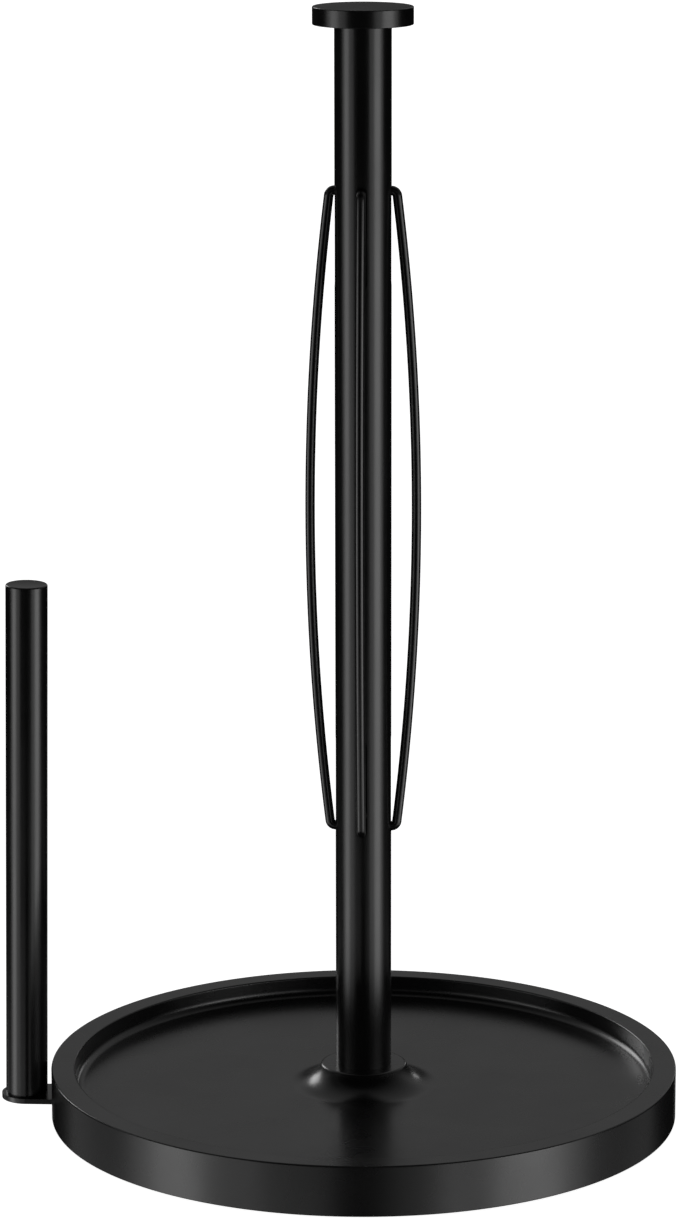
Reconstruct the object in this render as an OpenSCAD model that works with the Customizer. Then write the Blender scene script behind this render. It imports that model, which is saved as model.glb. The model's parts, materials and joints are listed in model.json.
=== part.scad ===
// Countertop paper towel holder: a weighted dish with a slim pole, four bowed wire springs that grip
// the roll's core, a flat round cap, and an upright tear bar held by a flat bracket beside the dish.
// The origin is the centre of the foot pad's underside. +Z is up and the tear bar stands on the -X side.

/* [Base] */
// Outside diameter of the dish
base_d = 181; // [178:1:188]
// Height of the rim above the table
base_h = 15; // [14.8:0.1:15.4]
// Width of the flat rim
rim_w = 6.8; // [6:0.1:7.6]
// Depth of the dish floor below the rim
dish_depth = 6.1; // [5.9:0.1:6.3]
// Height of the centre boss above the floor
boss_h = 6.4; // [5.8:0.1:6.8]
// Radius of the flat top of the boss
boss_top_r = 11.5; // [11:0.25:12.5]
// Radius where the boss meets the floor
boss_foot_r = 21.5; // [20.5:0.1:22.5]
// Radius of the curve between the dish floor and its wall
cove_r = 2.6; // [1.8:0.2:3.4]
// Thickness of the pressed sheet steel
sheet_t = 1.2; // [1.1:0.05:1.3]
// Thickness of the soft foot pad
pad_t = 1.2; // [1:0.1:1.2]
// Thickness of the bottom cover
cover_t = 0.8; // [0.6:0.1:0.8]
// Gap between the table and the lower edge of the skirt
skirt_gap = 0.8; // [0.4:0.1:1]

/* [Pole and cap] */
// Height of the whole holder
total_h = 320.4; // [312:0.2:330]
// Outside diameter of the pole
pole_d = 16; // [15.8:0.1:17]
// Wall thickness of the pole
pole_wall = 1.2; // [1:0.1:1.2]
// Diameter of the cap
cap_d = 28.2; // [24:0.2:32]
// Thickness of the cap
cap_t = 5; // [4.4:0.1:6]
// Chamfer on both edges of the cap
cap_chamfer = 0.2; // [0.2:0.1:0.8]

/* [Springs] */
// Diameter of the spring wire
wire_d = 2.72; // [2.5:0.02:2.8]
// Height of the highest point of the bowed wires
spring_top = 270.7; // [262:0.1:278]
// Height of the lowest point of the bowed wires
spring_bottom = 85; // [76:0.1:92]
// Diameter over the springs at the middle of the bow
spring_over_d = 32.9; // [31:0.1:34]
// Bend radius of the wire where it enters the pole, on its centreline
elbow_r = 1.6; // [1.5:0.05:1.8]
// How far a spring is pressed inwards by the core
spring_travel = 2.5; // [0.5:0.1:2.6]
// Turn of the spring set about the pole, in degrees
spring_turn = -4; // [-8:1:8]

/* [Tear bar] */
// Diameter of the tear bar
bar_d = 12; // [11:0.5:13]
// Height of the top of the tear bar
bar_top = 157.3; // [140:0.1:175]
// Gap between the foot of the tear bar and the side of the dish
bar_gap = 1.4; // [0.5:0.1:3]
// Lean of the tear bar towards the pole, in degrees
bar_lean = 0.9; // [0:0.1:1.2]
// Wall thickness of the tear bar's tube
bar_wall = 1; // [0.8:0.1:1.2]
// Width of the flat bracket
bracket_w = 14.4; // [13.6:0.2:16]
// Thickness of the flat bracket
bracket_t = 1.5; // [1.3:0.1:1.5]
// Height of the bracket's top face above the table, inside the dish
bracket_top = 6.2; // [6:0.1:6.5]

/* [Hidden] */
$fn = 96;

// Colours
BLACK = [0.045, 0.045, 0.05];
ZINC = [0.72, 0.73, 0.74];
RAW_STEEL = [0.34, 0.34, 0.35];
RUBBER = [0.09, 0.09, 0.095];

// Play between parts that touch or nearly touch
SCREW_PLAY = 0.02;
HOLE_PLAY = 0.2;
SIDE_PLAY = 0.4;
THROUGH = 1;

// Heights of the dish, from the table up
base_r = base_d / 2;
floor_z = base_h - dish_depth;
floor_under_z = floor_z - sheet_t;
boss_z = floor_z + boss_h;
boss_under_z = boss_z - sheet_t;
cover_top_z = pad_t + cover_t;

// Rim and edge of the floor
rim_inner_r = base_r - rim_w;
rim_edge_r = 0.5;
wall_edge_r = 0.5;
floor_r = rim_inner_r - cove_r;
cove_z = floor_z + cove_r;

// Boss: a convex shoulder that runs into a hollow flank
shoulder_r = 1;
flank_angle = 2 * atan(boss_h / (boss_foot_r - boss_top_r));
flank_r = (boss_foot_r - boss_top_r) / sin(flank_angle) - shoulder_r;
boss_hole_r = 4.3;

// Inside the base
skirt_inner_r = base_r - sheet_t;
pad_inset = 5;
pad_chamfer = 0.3;
pad_r = base_r - pad_inset;
cover_r = skirt_inner_r - SIDE_PLAY;
ballast_gap = 1.8;
ballast_chamfer = 1.5;
ballast_r = skirt_inner_r - ballast_gap;
ballast_hole_r = 18;
POST_COUNT = 4;
post_ring_r = 60;
post_r = 4.2;
post_turn = 45;

// Cover screws, M4 countersunk
m4_r = 2;
m4_head_r = 3.9;
m4_head_h = m4_head_r - m4_r;
m4_key = 2.5;
m4_key_depth = 1.2;
m4_end_gap = 0.6;
m4_hole_gap = 0.3;
m4_end_z = floor_under_z - m4_end_gap;

// Pole, its inserts and its fasteners
pole_r = pole_d / 2;
pole_bore_r = pole_r - pole_wall;
pole_top_z = total_h - cap_t;
insert_h = 18;
cap_insert_h = 16;
insert_chamfer = 0.5;
m8_r = 4;
m8_head_flats = 13;
m8_head_h = 5.3;
m8_washer_r = 8;
m8_washer_t = 1.6;
lock_washer_r = 6.4;
lock_washer_t = 2;
lock_gap = 1.6;
m8_reach = 14;
m6_r = 3;
m6_key = 3;
stud_below = 12;
cap_roof_t = 1.4;
stud_above = cap_t - cap_roof_t;

// Springs. The wire lies in the plane of x and z and is then turned to its place around the pole.
SPRING_ANGLES = [for (i = [0:3]) 90 * i + spring_turn];
wire_r = wire_d / 2;
leg_high_z = spring_top - wire_r;
leg_low_z = spring_bottom + wire_r;
spring_mid_z = (leg_high_z + leg_low_z) / 2;
elbow_x = pole_r;
bow_x = spring_over_d / 2 - wire_r;
bow_rise = bow_x - elbow_x;
elbow_up = leg_high_z - elbow_r - spring_mid_z;
bow_r = (pow(bow_rise, 2) + pow(elbow_up, 2) - pow(elbow_r, 2)) / (2 * (bow_rise - elbow_r));
bow_half = asin(elbow_up / (bow_r - elbow_r));
wall_play = 0.2;
foot_x = pole_bore_r - wire_r - wall_play;
foot_len = 6;
bead_over = 0.02;
bead_r = wire_r + bead_over;
WIRE_FN = 32;
BEND_FN = 64;
BOW_FN = 2160;

// Slots that let the ends of a pressed spring into the pole
slot_play = 0.25;
slot_w = wire_d + 2 * slot_play;
clear_sag = bow_x - (pole_r + spring_travel + wire_r + slot_play);
slot_end_up = sqrt(2 * bow_r * clear_sag - pow(clear_sag, 2));

// Tear bar and bracket
bar_r = bar_d / 2;
bar_x = -(base_r + bar_gap + bar_r);
bar_bore_r = bar_r - bar_wall;
plug_t = 1.2;
plug_stem = 8;
bar_chamfer = 0.5;
spigot_r = 3;
spigot_stem = 14;
rivet_r = 3.8;
rivet_h = 0.6;
rivet_chamfer = 0.4;
bracket_under = bracket_top - bracket_t;
bracket_end_x = -62;
bracket_bend_x = -(base_r - sheet_t);
bracket_play = 0.3;
bar_foot_z = bracket_top + tan(bar_lean) * (bracket_bend_x - bar_x);
bar_length = (bar_top - bar_foot_z) / cos(bar_lean);

// Bracket fasteners, M3 weld studs with thin nuts
STUD_XS = [-80, -68];
m3_r = 1.5;
m3_nut_flats = 5.5;
m3_nut_h = 1.8;
spacer_r = 4;
m3_chamfer = 0.2;
m3_over_nut = 0.3;
stud_end_z = bracket_under - m3_nut_h - m3_over_nut;

ARC_STEPS = 10;

// Points of an arc about [cx, cy] from angle a0 to angle a1
function arc(cx, cy, r, a0, a1, steps = ARC_STEPS) =
    [for (i = [0:steps]) let (a = a0 + (a1 - a0) * i / steps) [cx + r * cos(a), cy + r * sin(a)]];

// Circumscribed radius of a hexagon from its width across the flats
function hex_r(flats) = flats / (2 * cos(30));

// Upper line of the dish's section, from the centre hole to the rim's outer edge
function dish_top_line() = concat(
    [[boss_hole_r, boss_z]],
    arc(boss_top_r, boss_z - shoulder_r, shoulder_r, 90, 90 - flank_angle),
    arc(boss_foot_r, floor_z + flank_r, flank_r, 270 - flank_angle, 270),
    arc(floor_r, cove_z, cove_r, 270, 360),
    arc(rim_inner_r + wall_edge_r, base_h - wall_edge_r, wall_edge_r, 180, 90, 5),
    arc(base_r - rim_edge_r, base_h - rim_edge_r, rim_edge_r, 90, 0, 6)
);

// Lower line of the dish's section, from the foot of the skirt back to the centre hole
function dish_under_line() = concat(
    [[base_r, skirt_gap], [skirt_inner_r, skirt_gap]],
    [[skirt_inner_r, base_h - sheet_t], [rim_inner_r + sheet_t, base_h - sheet_t]],
    arc(floor_r, cove_z, cove_r + sheet_t, 360, 270),
    arc(boss_foot_r, floor_under_z + flank_r, flank_r, 270, 270 - flank_angle),
    arc(boss_top_r, boss_under_z - shoulder_r, shoulder_r, 90 - flank_angle, 90),
    [[boss_hole_r, boss_under_z]]
);

// A disc or ring with its lower face at z, and a chamfer on either edge
module ring(r, h, z = 0, hole = 0, low = 0, high = 0) {
    rotate_extrude()
        polygon([
            [hole, z],
            [r - low, z],
            [r, z + low],
            [r, z + h - high],
            [r - high, z + h],
            [hole, z + h]
        ]);
}

// A hexagonal prism with its lower face at z
module hexagon(flats, h, z = 0) {
    translate([0, 0, z])
        cylinder(r = hex_r(flats), h = h, $fn = 6);
}

// Places a child at each cover post
module at_posts() {
    for (i = [0:POST_COUNT - 1])
        rotate([0, 0, post_turn + 360 * i / POST_COUNT])
            translate([post_ring_r, 0, 0])
                children();
}

// Places a child at each stud of the bracket
module at_studs() {
    for (x = STUD_XS)
        translate([x, 0, 0])
            children();
}

// Places its children on the bar's axis, with z = 0 on top of the bracket
module at_bar() {
    translate([bar_x, 0, bar_foot_z])
        rotate([0, bar_lean, 0])
            children();
}

// The countersunk form of a cover screw's head, with some play around it
module countersink(play) {
    translate([0, 0, pad_t])
        cylinder(r1 = m4_head_r + play, r2 = m4_r + play, h = m4_head_h);
}

// Outline of the flat bracket, with round ends, grown by some play
module bracket_outline(play) {
    half_w = bracket_w / 2 + play;
    translate([bar_x, 0])
        circle(r = half_w);
    translate([bracket_end_x, 0])
        circle(r = half_w);
    translate([bar_x, -half_w])
        square([bracket_end_x - bar_x, 2 * half_w]);
}

module base_dish() {
    color(BLACK)
        difference() {
            rotate_extrude($fn = 180)
                polygon(concat(dish_top_line(), dish_under_line()));
            translate([-base_r - THROUGH, -bracket_w / 2 - bracket_play, bracket_under - bracket_play])
                cube([sheet_t + 2 * THROUGH, bracket_w + 2 * bracket_play, bracket_t + 2 * bracket_play]);
        }
}

module ballast_plate() {
    color(RAW_STEEL)
        difference() {
            ring(ballast_r, floor_under_z - cover_top_z, cover_top_z, ballast_hole_r, 0, ballast_chamfer);
            at_posts()
                translate([0, 0, cover_top_z - THROUGH])
                    cylinder(r = post_r + SIDE_PLAY, h = floor_under_z);
            translate([0, 0, cover_top_z - THROUGH])
                linear_extrude(floor_under_z)
                    bracket_outline(SIDE_PLAY);
        }
}

module base_cover() {
    color(BLACK)
        difference() {
            ring(cover_r, cover_t, pad_t);
            at_posts()
                countersink(SCREW_PLAY);
        }
}

module cover_posts() {
    color(ZINC)
        at_posts()
            difference() {
                translate([0, 0, cover_top_z])
                    cylinder(r = post_r, h = floor_under_z - cover_top_z);
                countersink(SCREW_PLAY);
                translate([0, 0, pad_t])
                    cylinder(r = m4_r + SCREW_PLAY, h = floor_under_z - pad_t - m4_hole_gap);
            }
}

module cover_screws() {
    color(ZINC)
        at_posts()
            difference() {
                union() {
                    countersink(0);
                    translate([0, 0, pad_t])
                        cylinder(r = m4_r, h = m4_end_z - pad_t);
                }
                hexagon(m4_key, m4_key_depth + THROUGH, pad_t - THROUGH);
            }
}

module foot_pad() {
    color(RUBBER)
        ring(pad_r, pad_t, 0, 0, pad_chamfer, 0);
}

// One slot through both walls of the pole, from the spring's leg towards the middle of the pole.
// side is 1 at the top and -1 at the bottom.
module spring_slot(side) {
    leg_up = leg_high_z - spring_mid_z;
    long = leg_up - slot_end_up;
    low_z = spring_mid_z + min(side * leg_up, side * slot_end_up);
    translate([-pole_d, -slot_w / 2, low_z])
        cube([2 * pole_d, slot_w, long]);
    for (z = [low_z, low_z + long])
        translate([-pole_d, 0, z])
            rotate([0, 90, 0])
                cylinder(r = slot_w / 2, h = 2 * pole_d);
}

module pole_tube() {
    color(BLACK)
        difference() {
            ring(pole_r, pole_top_z - boss_z, boss_z, pole_bore_r);
            for (i = [0:1], side = [-1, 1])
                rotate([0, 0, SPRING_ANGLES[i]])
                    spring_slot(side);
        }
}

module pole_insert() {
    color(ZINC)
        ring(pole_bore_r, insert_h, boss_z, m8_r + SCREW_PLAY, 0, insert_chamfer);
}

module pole_bolt() {
    head_top_z = boss_under_z - m8_washer_t - lock_washer_t;
    color(ZINC)
        union() {
            hexagon(m8_head_flats, m8_head_h, head_top_z - m8_head_h);
            ring(m8_r, boss_z + m8_reach - head_top_z, head_top_z, 0, 0, insert_chamfer);
        }
}

module pole_washer() {
    color(ZINC)
        ring(m8_washer_r, m8_washer_t, boss_under_z - m8_washer_t, m8_r + HOLE_PLAY);
}

module pole_lock_washer() {
    low_z = boss_under_z - m8_washer_t - lock_washer_t;
    color(ZINC)
        difference() {
            ring(lock_washer_r, lock_washer_t, low_z, m8_r + HOLE_PLAY / 2);
            translate([0, -lock_gap / 2, low_z - THROUGH])
                cube([m8_washer_r, lock_gap, lock_washer_t + 2 * THROUGH]);
        }
}

module cap_insert() {
    color(ZINC)
        ring(pole_bore_r, cap_insert_h, pole_top_z - cap_insert_h, m6_r + SCREW_PLAY, insert_chamfer, 0);
}

module cap_stud() {
    low_z = pole_top_z - stud_below;
    color(ZINC)
        difference() {
            ring(m6_r, stud_below + stud_above, low_z, 0, insert_chamfer, insert_chamfer);
            hexagon(m6_key, m6_r + THROUGH, low_z - THROUGH);
        }
}

module pole_cap() {
    color(BLACK)
        difference() {
            ring(cap_d / 2, cap_t, pole_top_z, 0, cap_chamfer, cap_chamfer);
            translate([0, 0, pole_top_z - THROUGH])
                cylinder(r = m6_r + SCREW_PLAY, h = THROUGH + stud_above + HOLE_PLAY);
        }
}

// A round bend of the wire about [x, 0, z], from angle a0 through the angle sweep
module wire_bend(x, z, r, a0, sweep, steps) {
    translate([x, 0, z])
        rotate([90, 0, 0])
            rotate([0, 0, a0])
                rotate_extrude(angle = sweep, $fn = steps)
                    translate([r, 0])
                        circle(r = wire_r, $fn = WIRE_FN);
}

// A bead that joins two stretches of the wire into one solid
module wire_bead(x, z) {
    translate([x, 0, z])
        sphere(r = bead_r, $fn = WIRE_FN);
}

// The upper hook of a spring: outer elbow, leg through the wall, inner elbow and foot
module spring_hook() {
    elbow_z = leg_high_z - elbow_r;
    wire_bead(elbow_x + elbow_r * cos(bow_half), elbow_z + elbow_r * sin(bow_half));
    wire_bend(elbow_x, elbow_z, elbow_r, bow_half, 90 - bow_half, BEND_FN);
    wire_bead(elbow_x, leg_high_z);
    translate([foot_x + elbow_r, 0, leg_high_z])
        rotate([0, 90, 0])
            cylinder(r = wire_r, h = elbow_x - foot_x - elbow_r, $fn = WIRE_FN);
    wire_bend(foot_x + elbow_r, leg_high_z + elbow_r, elbow_r, 180, 90, BEND_FN);
    translate([foot_x, 0, leg_high_z + elbow_r])
        cylinder(r = wire_r, h = foot_len, $fn = WIRE_FN);
}

// One bowed wire, turned to its place around the pole
module spring(angle) {
    color(BLACK)
        rotate([0, 0, angle])
            union() {
                wire_bend(bow_x - bow_r, spring_mid_z, bow_r, -bow_half, 2 * bow_half, BOW_FN);
                spring_hook();
                translate([0, 0, 2 * spring_mid_z])
                    mirror([0, 0, 1])
                        spring_hook();
            }
}

module spring_right() {
    spring(SPRING_ANGLES[0]);
}

module spring_back() {
    spring(SPRING_ANGLES[1]);
}

module spring_left() {
    spring(SPRING_ANGLES[2]);
}

module spring_front() {
    spring(SPRING_ANGLES[3]);
}

module tear_bar_tube() {
    color(BLACK)
        at_bar()
            ring(bar_r, bar_length - plug_t, 0, bar_bore_r);
}

module tear_bar_end_plug() {
    color(BLACK)
        at_bar()
            union() {
                ring(bar_r, plug_t, bar_length - plug_t, 0, 0, bar_chamfer);
                ring(bar_bore_r, plug_stem, bar_length - plug_t - plug_stem, 0, insert_chamfer, 0);
            }
}

module tear_bar_spigot() {
    color(ZINC)
        at_bar()
            union() {
                ring(bar_bore_r, spigot_stem, 0, 0, 0, insert_chamfer);
                ring(spigot_r, bracket_t, -bracket_t);
                ring(rivet_r, rivet_h, -bracket_t - rivet_h, 0, rivet_chamfer, 0);
            }
}

// Side view of the bracket: level inside the dish, and bent up outside it by the lean of the bar
module bracket_side() {
    far_x = bar_x - bracket_w;
    rise = tan(bar_lean) * (bracket_bend_x - far_x);
    polygon([
        [0, bracket_top],
        [bracket_bend_x, bracket_top],
        [far_x, bracket_top + rise],
        [far_x, bracket_under + rise],
        [bracket_bend_x, bracket_under],
        [0, bracket_under]
    ]);
}

module tear_bar_bracket() {
    color(BLACK)
        difference() {
            intersection() {
                linear_extrude(2 * bracket_top)
                    bracket_outline(0);
                translate([0, bracket_w, 0])
                    rotate([90, 0, 0])
                        linear_extrude(2 * bracket_w)
                            bracket_side();
            }
            at_bar()
                translate([0, 0, -bracket_t - THROUGH])
                    cylinder(r = spigot_r + SCREW_PLAY, h = bracket_t + 2 * THROUGH);
            at_studs()
                translate([0, 0, bracket_under - THROUGH])
                    cylinder(r = m3_r + HOLE_PLAY, h = bracket_t + 2 * THROUGH);
        }
}

module bracket_studs() {
    color(ZINC)
        at_studs()
            ring(m3_r, floor_under_z - stud_end_z, stud_end_z, 0, m3_chamfer, 0);
}

module bracket_spacers() {
    color(ZINC)
        at_studs()
            ring(spacer_r, floor_under_z - bracket_top, bracket_top, m3_r + HOLE_PLAY);
}

module bracket_nuts() {
    color(ZINC)
        at_studs()
            difference() {
                hexagon(m3_nut_flats, m3_nut_h, bracket_under - m3_nut_h);
                translate([0, 0, bracket_under - m3_nut_h - THROUGH])
                    cylinder(r = m3_r + SCREW_PLAY, h = m3_nut_h + 2 * THROUGH);
            }
}

base_dish();
ballast_plate();
base_cover();
cover_posts();
cover_screws();
foot_pad();
pole_tube();
pole_insert();
pole_bolt();
pole_washer();
pole_lock_washer();
cap_insert();
cap_stud();
pole_cap();
spring_right();
spring_back();
spring_left();
spring_front();
tear_bar_tube();
tear_bar_end_plug();
tear_bar_spigot();
tear_bar_bracket();
bracket_studs();
bracket_spacers();
bracket_nuts();
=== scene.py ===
"""Looks for a black steel paper towel holder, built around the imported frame. Lengths are in metres."""

import json
import math
from types import SimpleNamespace

import bmesh
import bpy
from mathutils import Matrix, Vector

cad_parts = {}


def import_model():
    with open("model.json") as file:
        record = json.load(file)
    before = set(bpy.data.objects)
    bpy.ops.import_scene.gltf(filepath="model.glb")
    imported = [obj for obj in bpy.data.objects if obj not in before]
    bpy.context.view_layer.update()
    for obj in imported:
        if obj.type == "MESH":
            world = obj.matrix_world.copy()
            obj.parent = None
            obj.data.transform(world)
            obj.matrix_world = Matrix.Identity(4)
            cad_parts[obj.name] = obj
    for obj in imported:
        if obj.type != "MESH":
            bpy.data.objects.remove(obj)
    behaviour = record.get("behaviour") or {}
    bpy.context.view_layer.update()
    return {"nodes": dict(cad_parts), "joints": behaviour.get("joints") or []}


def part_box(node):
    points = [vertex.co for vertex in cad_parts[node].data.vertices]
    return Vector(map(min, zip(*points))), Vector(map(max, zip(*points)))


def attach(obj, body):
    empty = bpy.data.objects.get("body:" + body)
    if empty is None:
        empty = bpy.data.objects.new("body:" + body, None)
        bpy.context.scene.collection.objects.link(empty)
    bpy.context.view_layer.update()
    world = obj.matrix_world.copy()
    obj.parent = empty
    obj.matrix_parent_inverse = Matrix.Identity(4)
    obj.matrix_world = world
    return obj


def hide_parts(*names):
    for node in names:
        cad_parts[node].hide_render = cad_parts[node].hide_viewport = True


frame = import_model()

MM = 0.001
UP = Vector((0, 0, 1))
HOLDER = "holder"
SPRINGS = ("spring_right", "spring_back", "spring_left", "spring_front")
HOLD = 0.12 * MM          # distance of the extra ring that keeps a flat face flat beside a fillet
FILLET_SHARE = 0.49       # the most of a straight that one fillet may take
SHARP = math.radians(32)  # edges that turn more than this stay crisp

# Camera, at the photograph's viewing angle. The shift puts the pole right of the middle, as there.
CAMERA_BACK = 1.2733
CAMERA_UP = 0.4353
CAMERA_PITCH = math.radians(12.65)
CAMERA_ROLL = math.radians(-0.037)
CAMERA_LENS = 135.5
CAMERA_SHIFT = -0.0195

FLOOR_HALF = 4
FLOOR_DROP = 0.05 * MM    # the floor is this far below the foot pad


# ---------------------------------------------------------------- outlines

def arc(cx, cy, r, a0, a1, steps):
    """Points of an arc, angles in degrees."""
    angles = [math.radians(a0 + (a1 - a0) * i / steps) for i in range(steps + 1)]
    return [(cx + r * math.cos(a), cy + r * math.sin(a)) for a in angles]


def circle(cx, r, sides=48):
    """Points of a circle around (cx, 0)."""
    return arc(cx, 0, r, 0, 360, sides)[:-1]


def rounded(corners, steps=8, closed=False):
    """A polyline from corners (x, y, fillet radius), with an extra point on each straight beside a fillet."""
    out = []
    count = len(corners)
    for i, (x, y, r) in enumerate(corners):
        here = Vector((x, y))
        at_end = not closed and i in (0, count - 1)
        if at_end or r <= 0:
            out.append((x, y))
            continue
        before = Vector(corners[i - 1][:2]) - here
        after = Vector(corners[(i + 1) % count][:2]) - here
        room = FILLET_SHARE * min(before.length, after.length)
        before.normalize()
        after.normalize()
        half = before.angle(after) / 2
        inset = min(r / math.tan(half), room)
        radius = inset * math.tan(half)
        centre = here + (before + after).normalized() * (radius / math.sin(half))
        start = here + before * inset
        end = here + after * inset
        if inset + HOLD < room:
            out.append(tuple(here + before * (inset + HOLD)))
        a0 = math.atan2(start.y - centre.y, start.x - centre.x)
        turn = math.atan2(end.y - centre.y, end.x - centre.x) - a0
        turn = (turn + math.pi) % (2 * math.pi) - math.pi
        for k in range(steps + 1):
            a = a0 + turn * k / steps
            out.append((centre.x + radius * math.cos(a), centre.y + radius * math.sin(a)))
        if inset + HOLD < room:
            out.append(tuple(here + after * (inset + HOLD)))
    return out


# ---------------------------------------------------------------- meshes

def add_object(name, data):
    made = bpy.data.objects.new(name, data)
    bpy.context.scene.collection.objects.link(made)
    return made


def new_piece(name, verts, faces):
    """A mesh object with smooth faces and crisp edges where it turns sharply."""
    mesh = bpy.data.meshes.new(name)
    mesh.from_pydata([tuple(v) for v in verts], [], faces)
    mesh.validate()
    piece = add_object(name, mesh)
    smooth(piece)
    return piece


def smooth(piece):
    piece.data.shade_smooth()
    piece.data.set_sharp_from_angle(angle=SHARP)


def lathe(name, profile, segments, closed=False):
    """Turns a profile of (radius, height) points about the vertical axis. Points on the axis become poles."""
    verts = []
    rings = []
    for r, z in profile:
        if r == 0:
            rings.append([len(verts)])
            verts.append((0, 0, z))
            continue
        rings.append(list(range(len(verts), len(verts) + segments)))
        for i in range(segments):
            a = 2 * math.pi * i / segments
            verts.append((r * math.cos(a), r * math.sin(a), z))
    pairs = list(zip(rings, rings[1:]))
    if closed:
        pairs.append((rings[-1], rings[0]))
    faces = []
    for low, high in pairs:
        for i in range(segments):
            j = (i + 1) % segments
            if len(low) == 1:
                faces.append((low[0], high[j], high[i]))
            elif len(high) == 1:
                faces.append((low[i], low[j], high[0]))
            else:
                faces.append((low[i], low[j], high[j], high[i]))
    return new_piece(name, verts, faces)


def prism(name, outline, low, high, place=Matrix.Identity(4)):
    """A flat outline of (x, y) points raised from low to high, then placed."""
    count = len(outline)
    verts = [place @ Vector((x, y, z)) for z in (low, high) for x, y in outline]
    faces = [tuple(reversed(range(count))), tuple(range(count, 2 * count))]
    for i in range(count):
        j = (i + 1) % count
        faces.append((i, j, count + j, count + i))
    return new_piece(name, verts, faces)


def upright(outward):
    """Places a prism so that its outline stands upright and its length runs along outward."""
    across = UP.cross(outward)
    return Matrix((
        (across.x, 0, outward.x, 0),
        (across.y, 0, outward.y, 0),
        (0, 1, 0, 0),
        (0, 0, 0, 1),
    ))


def wire(name, path, radius, side, sides=28, chamfer=0.25 * MM):
    """A round wire along a path that lies in one plane, whose normal is side. Both ends are chamfered."""
    rings = []
    for i, p in enumerate(path):
        tangent = (path[min(i + 1, len(path) - 1)] - path[max(i - 1, 0)]).normalized()
        rings.append((p, tangent, radius))
    first, last = rings[0], rings[-1]
    tip_r = radius - chamfer
    rings[0] = (first[0] + first[1] * chamfer, first[1], radius)
    rings[-1] = (last[0] - last[1] * chamfer, last[1], radius)
    rings = [(first[0], first[1], tip_r)] + rings + [(last[0], last[1], tip_r)]
    verts = []
    faces = []
    for p, tangent, r in rings:
        up = tangent.cross(side).normalized()
        for k in range(sides):
            a = 2 * math.pi * k / sides
            verts.append(p + side * (r * math.cos(a)) + up * (r * math.sin(a)))
    for i in range(len(rings) - 1):
        for k in range(sides):
            j = (k + 1) % sides
            a, b = i * sides, (i + 1) * sides
            faces.append((a + k, b + k, b + j, a + j))
    faces.append(tuple(range(sides)))
    last_ring = (len(rings) - 1) * sides
    faces.append(tuple(last_ring + k for k in reversed(range(sides))))
    return new_piece(name, verts, faces)


def apply_modifiers(piece, keep_normals=False):
    """Puts the result of a piece's modifiers into its mesh."""
    bpy.context.view_layer.update()
    graph = bpy.context.evaluated_depsgraph_get()
    mesh = bpy.data.meshes.new_from_object(piece.evaluated_get(graph))
    piece.modifiers.clear()
    piece.data = mesh
    if not keep_normals:
        smooth(piece)


def cut(piece, *cutters):
    """Takes the cutters' shapes out of a piece."""
    for cutter in cutters:
        modifier = piece.modifiers.new("cut", "BOOLEAN")
        modifier.operation = "DIFFERENCE"
        modifier.solver = "EXACT"
        modifier.object = cutter
    apply_modifiers(piece)
    for cutter in cutters:
        bpy.data.objects.remove(cutter)


def soften(piece, width, steps=3):
    """Rounds the sharp edges of a piece, and keeps its large faces flat in the shading."""
    modifier = piece.modifiers.new("edges", "BEVEL")
    modifier.width = width
    modifier.segments = steps
    modifier.limit_method = "ANGLE"
    modifier.angle_limit = SHARP
    weighted = piece.modifiers.new("normals", "WEIGHTED_NORMAL")
    weighted.keep_sharp = True
    apply_modifiers(piece, keep_normals=True)


def bend(piece, at_x, slope):
    """Divides a strip across at_x and lifts everything on its -X side by the slope."""
    shape = bmesh.new()
    shape.from_mesh(piece.data)
    everything = shape.verts[:] + shape.edges[:] + shape.faces[:]
    bmesh.ops.bisect_plane(shape, geom=everything, plane_co=(at_x, 0, 0), plane_no=(1, 0, 0))
    for vertex in shape.verts:
        if vertex.co.x < at_x:
            vertex.co.z += slope * (at_x - vertex.co.x)
    shape.to_mesh(piece.data)
    shape.free()


# ---------------------------------------------------------------- materials

def link(tree, a, b):
    tree.links.new(a, b)


def node(tree, kind, **inputs):
    """A shader node with some of its sockets set."""
    made = tree.nodes.new(kind)
    for name, value in inputs.items():
        made.inputs[name.replace("_", " ")].default_value = value
    return made


def base_material(name):
    material = bpy.data.materials.new(name)
    material.use_nodes = True
    tree = material.node_tree
    return material, tree, tree.nodes["Principled BSDF"]


def noise(tree, coords, scale, detail):
    made = node(tree, "ShaderNodeTexNoise", Scale=scale, Detail=detail)
    link(tree, coords.outputs["Object"], made.inputs["Vector"])
    return made.outputs["Fac"]


def spread(tree, source, low, high):
    """Maps a noise's middle values to the range from low to high."""
    made = node(tree, "ShaderNodeMapRange", From_Min=0.3, From_Max=0.7, To_Min=low, To_Max=high)
    link(tree, source, made.inputs["Value"])
    return made.outputs["Result"]


def tint(tree, shader, factor, dark, light):
    """Colours the surface from dark, where the factor is 0, to light, where it is 1."""
    made = node(tree, "ShaderNodeMix")
    made.data_type = "RGBA"
    made.inputs["A"].default_value = (*dark, 1)
    made.inputs["B"].default_value = (*light, 1)
    link(tree, factor, made.inputs["Factor"])
    link(tree, made.outputs["Result"], shader.inputs["Base Color"])


def bump(tree, shader, height, distance, strength):
    made = node(tree, "ShaderNodeBump", Distance=distance, Strength=strength)
    link(tree, height, made.inputs["Height"])
    link(tree, made.outputs["Normal"], shader.inputs["Normal"])


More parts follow.
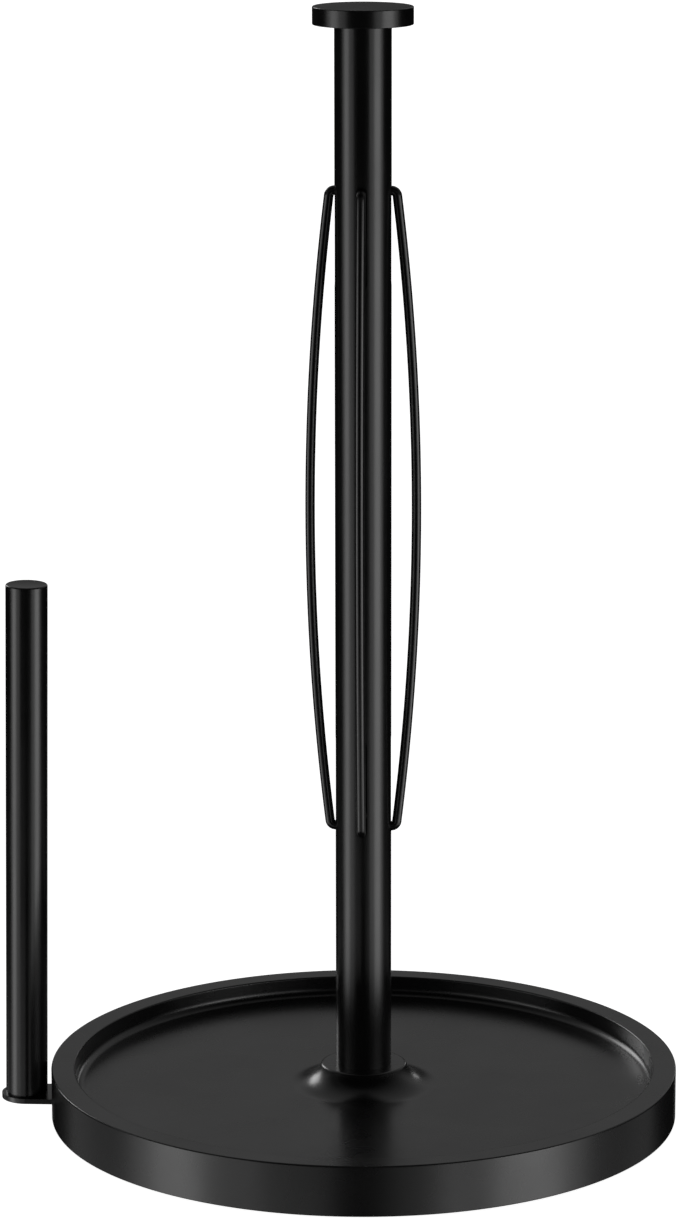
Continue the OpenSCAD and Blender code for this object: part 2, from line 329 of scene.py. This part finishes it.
def paint_material(name, roughness, grain):
    """Satin black powder coat: a fine orange peel, faint clouding and a little dust-grey speckle."""
    material, tree, shader = base_material(name)
    coords = tree.nodes.new("ShaderNodeTexCoord")
    clouds = noise(tree, coords, scale=45, detail=3)
    speckle = noise(tree, coords, scale=2600, detail=1)
    peel = noise(tree, coords, scale=grain, detail=2)
    uneven = 0.025
    link(tree, spread(tree, clouds, roughness - uneven, roughness + uneven), shader.inputs["Roughness"])
    tint(tree, shader, spread(tree, speckle, 0.0, 1.0),
         dark=(0.0022, 0.0022, 0.0023), light=(0.0036, 0.0036, 0.0037))
    shader.inputs["IOR"].default_value = 1.5
    bump(tree, shader, peel, distance=0.004 * MM, strength=0.5)
    return material


def metal_material(name, color, roughness, uneven):
    """Plated or bare steel with a fine grain and cloudy patches."""
    material, tree, shader = base_material(name)
    coords = tree.nodes.new("ShaderNodeTexCoord")
    clouds = noise(tree, coords, scale=220, detail=4)
    grain = noise(tree, coords, scale=3200, detail=3)
    darker = 0.82
    shader.inputs["Metallic"].default_value = 1.0
    tint(tree, shader, spread(tree, clouds, 0.0, 1.0), dark=[c * darker for c in color], light=color)
    link(tree, spread(tree, clouds, roughness, roughness + uneven), shader.inputs["Roughness"])
    bump(tree, shader, grain, distance=0.006 * MM, strength=0.4)
    return material


def foam_material():
    """Closed-cell foam rubber: small round cells in a matt black skin, with painted shade that darkens each
    cell's pit.
    """
    material, tree, shader = base_material("foam_rubber")
    coords = tree.nodes.new("ShaderNodeTexCoord")
    cells = node(tree, "ShaderNodeTexVoronoi", Scale=1400.0)
    link(tree, coords.outputs["Object"], cells.inputs["Vector"])
    depth = cells.outputs["Distance"]
    # The colour follows the cell depth and is darker in the pits: this is painted shade.
    tint(tree, shader, depth, dark=(0.011, 0.011, 0.012), light=(0.024, 0.024, 0.025))
    shader.inputs["Roughness"].default_value = 0.88
    bump(tree, shader, depth, distance=0.08 * MM, strength=0.7)
    return material


dish_paint = paint_material("satin_black_dish_paint", roughness=0.27, grain=1500)
paint = paint_material("satin_black_paint", roughness=0.25, grain=1800)
wire_paint = paint_material("satin_black_wire", roughness=0.23, grain=2200)
zinc = metal_material("zinc_plate", (0.70, 0.72, 0.74), roughness=0.22, uneven=0.12)
raw_steel = metal_material("raw_steel", (0.30, 0.30, 0.31), roughness=0.38, uneven=0.16)
foam = foam_material()


def paint_over(piece, material):
    piece.data.materials.clear()
    piece.data.materials.append(material)


def finish_piece(piece, material, body, replaced):
    paint_over(piece, material)
    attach(piece, body)
    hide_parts(replaced)


# ---------------------------------------------------------------- sizes

dish_low, dish_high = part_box("base_dish")
pole_low, pole_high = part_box("pole_tube")
cap_low, cap_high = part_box("pole_cap")
bar_low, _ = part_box("tear_bar_tube")
_, plug_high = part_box("tear_bar_end_plug")
bracket_low, bracket_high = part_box("tear_bar_bracket")
pad_low, pad_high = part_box("foot_pad")

base_r = dish_high.x
rim_z = dish_high.z
skirt_z = dish_low.z
boss_z = pole_low.z
pole_r = pole_high.x

# Section of the dish, as in the CAD model
SHEET = 1.2 * MM
FLOOR_Z = rim_z - 6.1 * MM
RIM_INNER_R = base_r - 6.8 * MM
COVE_R = 2.6 * MM
BOSS_TOP_R = 11.5 * MM
BOSS_FOOT_R = 21.5 * MM
SHOULDER_R = 1.0 * MM
BOSS_HOLE_R = 4.3 * MM
WALL_EDGE = 0.5 * MM
RIM_EDGE = 0.45 * MM
HEM = 0.25 * MM
FLOOR_RING = 20 * MM      # distance of an extra ring in the floor from the boss
DISH_SEGMENTS = 288

# Pole, cap and foot pad
POLE_WALL = 1.2 * MM
POLE_EDGE = 0.12 * MM
POLE_SEGMENTS = 160
CAP_EDGE = 0.25 * MM
CAP_HOLE_R = 3.02 * MM
CAP_HOLE_DEPTH = 3.8 * MM
CAP_HOLE_EDGE = 0.1 * MM
PAD_EDGE = 0.3 * MM
PAD_TOP_EDGE = 0.1 * MM
ROUND_SEGMENTS = 192

# Wires, and their slots in the pole
WIRE_R = 1.36 * MM
ELBOW_R = 1.6 * MM
ELBOW_STEPS = 14
BOW_STEPS = 60
FOOT_LEN = 6 * MM
WALL_PLAY = 0.2 * MM
SLOT_PLAY = 0.25 * MM
SLOT_STEPS = 16

# Tear bar. Its axis leans towards the pole from a foot on the bracket, whose outer end is bent to suit.
BAR_LEAN = math.radians(0.9)
BAR_R = 6 * MM
BAR_BORE_R = 5 * MM
BAR_SEGMENTS = 128
PLUG_T = 1.2 * MM
PLUG_STEM = 8 * MM
PLUG_EDGE = 0.5 * MM
STEM_EDGE = 0.5 * MM
SPIGOT_STEM = 14 * MM
RIVET_R = 3 * MM
RIVET_HEAD_R = 3.8 * MM
RIVET_HEAD_T = 0.6 * MM
RIVET_EDGE = 0.5 * MM
RIVET_SEGMENTS = 96
RIVET_HOLE_R = 3.02 * MM
BRACKET_T = 1.5 * MM
BRACKET_EDGE = 0.25 * MM
BRACKET_END_STEPS = 40
BRACKET_GAP = 0.3 * MM    # play around the bracket in the skirt's slot
STUD_X = (-80 * MM, -68 * MM)
STUD_HOLE_R = 1.7 * MM
CUTTER_PAST = 1 * MM      # how far a cutter stands out of what it cuts

bar_x = bar_low.x + BAR_R * math.cos(BAR_LEAN)
bar_foot_z = bar_low.z + BAR_R * math.sin(BAR_LEAN)
bend_x = -(base_r - SHEET)
bracket_top = bar_foot_z - math.tan(BAR_LEAN) * (bend_x - bar_x)
bar_length = (plug_high.z - bar_foot_z) / math.cos(BAR_LEAN) - (BAR_R - PLUG_EDGE) * math.tan(BAR_LEAN)
bar_place = Matrix.Translation((bar_x, 0, bar_foot_z)) @ Matrix.Rotation(BAR_LEAN, 4, "Y")


# ---------------------------------------------------------------- pieces

def boss_curve(drop):
    """The boss from its flat top to the floor: a convex shoulder, then a hollow flank. drop lowers it."""
    rise = boss_z - FLOOR_Z
    run = BOSS_FOOT_R - BOSS_TOP_R
    angle = 2 * math.degrees(math.atan(rise / run))
    flank = run / math.sin(math.radians(angle)) - SHOULDER_R
    shoulder = arc(BOSS_TOP_R, boss_z - SHOULDER_R - drop, SHOULDER_R, 90, 90 - angle, 16)
    hollow = arc(BOSS_FOOT_R, FLOOR_Z + flank - drop, flank, 270 - angle, 270, 28)
    return shoulder + hollow[1:]


def dish():
    """The dish: rim, wall, cove, floor and boss in one sheet, and the bracket's slot in the skirt."""
    floor_r = RIM_INNER_R - COVE_R
    cove_z = FLOOR_Z + COVE_R
    top = [(BOSS_HOLE_R, boss_z), (BOSS_TOP_R - HOLD, boss_z)]
    top += boss_curve(0)
    top += [(BOSS_FOOT_R + HOLD, FLOOR_Z), (BOSS_FOOT_R + FLOOR_RING, FLOOR_Z), (floor_r - HOLD, FLOOR_Z)]
    top += arc(floor_r, cove_z, COVE_R, 270, 360, 24)
    top += rounded([
        (RIM_INNER_R, cove_z + HOLD, 0),
        (RIM_INNER_R, rim_z, WALL_EDGE),
        (base_r, rim_z, RIM_EDGE),
        (base_r, skirt_z, HEM),
        (base_r - SHEET, skirt_z, HEM),
        (base_r - SHEET, rim_z - SHEET, HEM),
        (RIM_INNER_R + SHEET, rim_z - SHEET, HEM),
        (RIM_INNER_R + SHEET, cove_z + HOLD, 0),
    ], 10)
    under = arc(floor_r, cove_z, COVE_R + SHEET, 360, 270, 12)
    under += [(BOSS_FOOT_R + HOLD, FLOOR_Z - SHEET)]
    under += list(reversed(boss_curve(SHEET)))
    under += [(BOSS_HOLE_R, boss_z - SHEET)]
    piece = lathe("dish", top + under, DISH_SEGMENTS, closed=True)
    half_w = (bracket_high.y - bracket_low.y) / 2 + BRACKET_GAP
    slot_low = bracket_top - BRACKET_T - BRACKET_GAP
    slot_high = bracket_top + BRACKET_GAP
    slot = rounded([
        (-half_w, slot_low, BRACKET_GAP),
        (half_w, slot_low, BRACKET_GAP),
        (half_w, slot_high, BRACKET_GAP),
        (-half_w, slot_high, BRACKET_GAP),
    ], 4, closed=True)
    cut(piece, prism("slot_cutter", slot, -base_r - SHEET, -base_r + 2 * SHEET, upright(Vector((1, 0, 0)))))
    finish_piece(piece, dish_paint, HOLDER, "base_dish")


def spring_sizes(name):
    """What the frame says of a spring, and the size of its bow. crest is the centreline's greatest distance
    from the pole's axis, and leg_z is the height of each leg above or below the middle."""
    joint = next(j for j in frame["joints"] if j["child"] == name)
    outward = -Vector(joint["axis"]).normalized()
    low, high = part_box(name)
    crest = max(v.co.dot(outward) for v in frame["nodes"][name].data.vertices) - WIRE_R
    half_h = (high.z - low.z) / 2
    leg_z = half_h - FOOT_LEN - ELBOW_R
    rise = crest - pole_r
    up = leg_z - ELBOW_R
    return SimpleNamespace(
        outward=outward,
        travel=joint["range_m"][1],
        middle=(low.z + high.z) / 2,
        half_h=half_h,
        leg_z=leg_z,
        crest=crest,
        bow_r=(rise ** 2 + up ** 2 - ELBOW_R ** 2) / (2 * (rise - ELBOW_R)),
    )


def spring_path(spring):
    """The wire's path: foot, inner elbow, leg, outer elbow, one long bow, and the same at the other end."""
    foot_x = pole_r - POLE_WALL - WIRE_R - WALL_PLAY
    bow_half = math.degrees(math.asin((spring.leg_z - ELBOW_R) / (spring.bow_r - ELBOW_R)))
    upper = [(foot_x, spring.half_h), (foot_x, spring.half_h - FOOT_LEN / 2)]
    upper += arc(foot_x + ELBOW_R, spring.leg_z + ELBOW_R, ELBOW_R, 180, 270, ELBOW_STEPS)
    upper += arc(pole_r, spring.leg_z - ELBOW_R, ELBOW_R, 90, bow_half, ELBOW_STEPS)
    upper += arc(spring.crest - spring.bow_r, 0, spring.bow_r, bow_half, 0, BOW_STEPS)[1:]
    lower = [(x, -z) for x, z in reversed(upper[:-1])]
    return [spring.outward * x + Vector((0, 0, spring.middle + z)) for x, z in upper + lower]


def springs():
    """The four bowed wires, each on its own body."""
    for name in SPRINGS:
        spring = spring_sizes(name)
        piece = wire(name + "_wire", spring_path(spring), WIRE_R, UP.cross(spring.outward))
        finish_piece(piece, wire_paint, name, name)


def pole():
    """The pole's tube, with a slot behind each end of each spring. The cutters go right through it, so those
    of two springs also make the slots of the opposite two."""
    piece = lathe("pole", [
        (pole_r, pole_low.z),
        (pole_r, pole_high.z),
        (pole_r - POLE_WALL, pole_high.z),
        (pole_r - POLE_WALL, pole_low.z),
    ], POLE_SEGMENTS, closed=True)
    slot_half = WIRE_R + SLOT_PLAY
    cutters = []
    for name in SPRINGS[:2]:
        spring = spring_sizes(name)
        sag = spring.crest - (pole_r + spring.travel + slot_half)
        # Between this height and the leg, the pressed wire is in the pole's wall.
        clear_z = math.sqrt(2 * spring.bow_r * sag - sag ** 2)
        for sign in (1, -1):
            low, high = sorted((sign * spring.leg_z, sign * clear_z))
            outline = arc(0, spring.middle + high, slot_half, 0, 180, SLOT_STEPS)
            outline += arc(0, spring.middle + low, slot_half, 180, 360, SLOT_STEPS)
            cutters.append(prism("slot_cutter", outline, -2 * pole_r, 2 * pole_r, upright(spring.outward)))
    cut(piece, *cutters)
    soften(piece, POLE_EDGE, 2)
    finish_piece(piece, paint, HOLDER, "pole_tube")


def cap():
    """The flat round cap, with small rounded edges and a blind hole for its stud."""
    hole_top = cap_low.z + CAP_HOLE_DEPTH
    piece = lathe("cap", rounded([
        (0, hole_top, 0),
        (CAP_HOLE_R, hole_top, 0),
        (CAP_HOLE_R, cap_low.z, CAP_HOLE_EDGE),
        (cap_high.x, cap_low.z, CAP_EDGE),
        (cap_high.x, cap_high.z, CAP_EDGE),
        (0, cap_high.z, 0),
    ]), ROUND_SEGMENTS)
    finish_piece(piece, paint, HOLDER, "pole_cap")


def tear_bar():
    """The bar's tube, its flat end plug, and the riveted spigot in its foot."""
    tube_top = bar_length - PLUG_T
    tube = lathe("tear_bar", [
        (BAR_R, 0),
        (BAR_R, tube_top),
        (BAR_BORE_R, tube_top),
        (BAR_BORE_R, 0),
    ], BAR_SEGMENTS, closed=True)
    plug = lathe("tear_bar_plug", rounded([
        (0, tube_top - PLUG_STEM, 0),
        (BAR_BORE_R, tube_top - PLUG_STEM, STEM_EDGE),
        (BAR_BORE_R, tube_top, 0),
        (BAR_R, tube_top, 0),
        (BAR_R, bar_length, PLUG_EDGE),
        (0, bar_length, 0),
    ]), BAR_SEGMENTS)
    head_z = -BRACKET_T - RIVET_HEAD_T
    spigot = lathe("tear_bar_rivet", rounded([
        (0, head_z, 0),
        (RIVET_HEAD_R, head_z, RIVET_EDGE),
        (RIVET_HEAD_R, -BRACKET_T, 0),
        (RIVET_R, -BRACKET_T, 0),
        (RIVET_R, 0, 0),
        (BAR_BORE_R, 0, 0),
        (BAR_BORE_R, SPIGOT_STEM, STEM_EDGE),
        (0, SPIGOT_STEM, 0),
    ]), RIVET_SEGMENTS)
    for piece in (tube, plug, spigot):
        piece.data.transform(bar_place)
    finish_piece(tube, paint, HOLDER, "tear_bar_tube")
    finish_piece(plug, paint, HOLDER, "tear_bar_end_plug")
    finish_piece(spigot, zinc, HOLDER, "tear_bar_spigot")


def bracket():
    """The flat strip: round at both ends, drilled for the spigot and the two studs, with soft edges."""
    half_w = bracket_high.y
    under = bracket_top - BRACKET_T
    outline = arc(bracket_high.x - half_w, 0, half_w, -90, 90, BRACKET_END_STEPS)
    outline += arc(bar_x, 0, half_w, 90, 270, BRACKET_END_STEPS)
    piece = prism("bracket", outline, under, bracket_top)
    bend(piece, bend_x, math.tan(BAR_LEAN))
    holes = [prism("hole_cutter", circle(0, RIVET_HOLE_R), -2 * BRACKET_T, CUTTER_PAST, bar_place)]
    holes += [prism("hole_cutter", circle(x, STUD_HOLE_R), under - CUTTER_PAST, bracket_top + CUTTER_PAST)
              for x in STUD_X]
    cut(piece, *holes)
    soften(piece, BRACKET_EDGE)
    finish_piece(piece, paint, HOLDER, "tear_bar_bracket")


def foot_pad():
    """The thin foam pad under the base."""
    piece = lathe("foot_pad_foam", rounded([
        (0, pad_low.z, 0),
        (pad_high.x, pad_low.z, PAD_EDGE),
        (pad_high.x, pad_high.z, PAD_TOP_EDGE),
        (0, pad_high.z, 0),
    ]), ROUND_SEGMENTS)
    finish_piece(piece, foam, HOLDER, "foot_pad")


def carried_over():
    """CAD nodes whose shape is right: they keep it and get a better material."""
    looks = (
        (paint, ("base_cover",)),
        (raw_steel, ("ballast_plate",)),
        (zinc, ("cover_posts", "cover_screws", "pole_insert", "pole_bolt", "pole_washer", "pole_lock_washer",
                "cap_insert", "cap_stud", "bracket_studs", "bracket_spacers", "bracket_nuts")),
    )
    for material, names in looks:
        for name in names:
            piece = frame["nodes"][name]
            paint_over(piece, material)
            smooth(piece)


# ---------------------------------------------------------------- stage, lights and camera

def floor():
    """A plain pale floor that is clear from below. Reflections and bounced light ignore it, so the black
    paint keeps its depth."""
    corners = [(x * FLOOR_HALF, y * FLOOR_HALF, -FLOOR_DROP) for x, y in ((-1, -1), (1, -1), (1, 1), (-1, 1))]
    mesh = bpy.data.meshes.new("floor")
    mesh.from_pydata(corners, [], [(0, 1, 2, 3)])
    plane = add_object("floor", mesh)
    material, tree, shader = base_material("pale_floor")
    shader.inputs["Base Color"].default_value = (0.8, 0.8, 0.8, 1)
    shader.inputs["Roughness"].default_value = 0.9
    shader.inputs["Specular IOR Level"].default_value = 0.1
    shader.inputs["Emission Color"].default_value = (1, 1, 1, 1)
    shader.inputs["Emission Strength"].default_value = 0.97
    side = tree.nodes.new("ShaderNodeNewGeometry")
    clear = tree.nodes.new("ShaderNodeBsdfTransparent")
    mix = tree.nodes.new("ShaderNodeMixShader")
    link(tree, side.outputs["Backfacing"], mix.inputs["Fac"])
    link(tree, shader.outputs["BSDF"], mix.inputs[1])
    link(tree, clear.outputs["BSDF"], mix.inputs[2])
    link(tree, mix.outputs["Shader"], tree.nodes["Material Output"].inputs["Surface"])
    mesh.materials.append(material)
    plane.visible_glossy = False
    plane.visible_diffuse = False
    plane.visible_shadow = False


def softbox(name, azimuth, low, high, width, radiance, distance=1.1):
    """A soft light that faces the pole. azimuth is from the camera's side, positive to the right. low and
    high are heights, and width is an angle seen from the pole."""
    data = bpy.data.lights.new(name, "AREA")
    data.shape = "RECTANGLE"
    data.size = 2 * distance * math.tan(math.radians(width / 2))
    data.size_y = high - low
    data.energy = radiance * math.pi * data.size * data.size_y
    lamp = add_object(name, data)
    a = math.radians(azimuth)
    lamp.location = (distance * math.sin(a), -distance * math.cos(a), (low + high) / 2)
    lamp.rotation_euler = (math.radians(90), 0, a)
    lamp.visible_camera = False


def world():
    """White to the camera. Reflections see a dark room with a glow above the horizon. The glow is full on the
    far side and fades towards the camera, where only its lower part is left, at 0.6 of its strength."""
    made = bpy.data.worlds.new("studio")
    bpy.context.scene.world = made
    made.use_nodes = True
    tree = made.node_tree
    tree.nodes.clear()
    out = tree.nodes.new("ShaderNodeOutputWorld")
    mix = tree.nodes.new("ShaderNodeMixShader")
    path = tree.nodes.new("ShaderNodeLightPath")
    white = node(tree, "ShaderNodeBackground", Color=(1, 1, 1, 1), Strength=1.0)
    sky = node(tree, "ShaderNodeBackground", Strength=1.0)
    coords = tree.nodes.new("ShaderNodeTexCoord")
    parts = tree.nodes.new("ShaderNodeSeparateXYZ")
    ramp = tree.nodes.new("ShaderNodeValToRGB")
    link(tree, coords.outputs["Generated"], parts.inputs["Vector"])
    link(tree, parts.outputs["Z"], ramp.inputs["Fac"])
    glow = [  # sine of the elevation, and how bright it is there
        (0.0, 0.003), (0.09, 0.006), (0.21, 0.13), (0.32, 0.26),
        (0.41, 0.42), (0.52, 0.31), (0.8, 0.3), (1.0, 0.42),
    ]
    while len(ramp.color_ramp.elements) < len(glow):
        ramp.color_ramp.elements.new(0.5)
    for element, (at, level) in zip(ramp.color_ramp.elements, glow):
        element.position = at
        element.color = (level, level, level, 1)
    behind = node(tree, "ShaderNodeMapRange", From_Min=-0.3, From_Max=0.5)
    low = node(tree, "ShaderNodeMapRange", From_Min=0.5, From_Max=0.35, To_Max=0.6)
    either = tree.nodes.new("ShaderNodeMath")
    either.operation = "MAXIMUM"
    link(tree, parts.outputs["Y"], behind.inputs["Value"])
    link(tree, parts.outputs["Z"], low.inputs["Value"])
    link(tree, behind.outputs["Result"], either.inputs[0])
    link(tree, low.outputs["Result"], either.inputs[1])
    link(tree, ramp.outputs["Color"], sky.inputs["Color"])
    link(tree, either.outputs["Value"], sky.inputs["Strength"])
    link(tree, path.outputs["Is Camera Ray"], mix.inputs["Fac"])
    link(tree, sky.outputs["Background"], mix.inputs[1])
    link(tree, white.outputs["Background"], mix.inputs[2])
    link(tree, mix.outputs["Shader"], out.inputs["Surface"])


def lights():
    """On each side a softbox with a hot core, a small far light behind, and weak low fills for the dish's
    side. The rear fill is below the table, where only upright surfaces that face away from the camera
    reflect it."""
    softbox("left_core", -69, -0.60, 0.30, 20, 1.8)
    softbox("left_box", -64, -0.80, 0.30, 52, 0.9)
    softbox("left_back", -143, 1.1, 3.5, 20, 4.4, distance=6)
    softbox("left_fill", -26, -0.7, -0.30, 30, 0.75)
    softbox("left_back_fill", -110, -0.7, -0.30, 46, 0.3)
    softbox("right_core", 60, -0.42, 0.30, 27, 2.1)
    softbox("right_box", 56, -0.80, 0.30, 60, 1.0)
    softbox("right_back", 157, 0.6, 1.3, 8, 2, distance=6)
    softbox("right_fill", 22, -0.7, -0.30, 26, 0.55)
    softbox("right_back_fill", 108, -0.7, -0.30, 40, 0.25)
    softbox("rear_fill", 180, -0.8, -0.15, 34, 0.5)


def camera():
    data = bpy.data.cameras.new("camera")
    data.lens = CAMERA_LENS
    data.shift_x = CAMERA_SHIFT
    made = add_object("camera", data)
    place = Matrix.Translation((0, -CAMERA_BACK, CAMERA_UP))
    tilt = Matrix.Rotation(math.pi / 2 - CAMERA_PITCH, 4, "X")
    made.matrix_world = place @ tilt @ Matrix.Rotation(CAMERA_ROLL, 4, "Z")
    bpy.context.scene.camera = made


dish()
springs()
pole()
cap()
tear_bar()
bracket()
foot_pad()
carried_over()
floor()
world()
lights()
camera()
bpy.context.scene.view_settings.view_transform = "Standard"
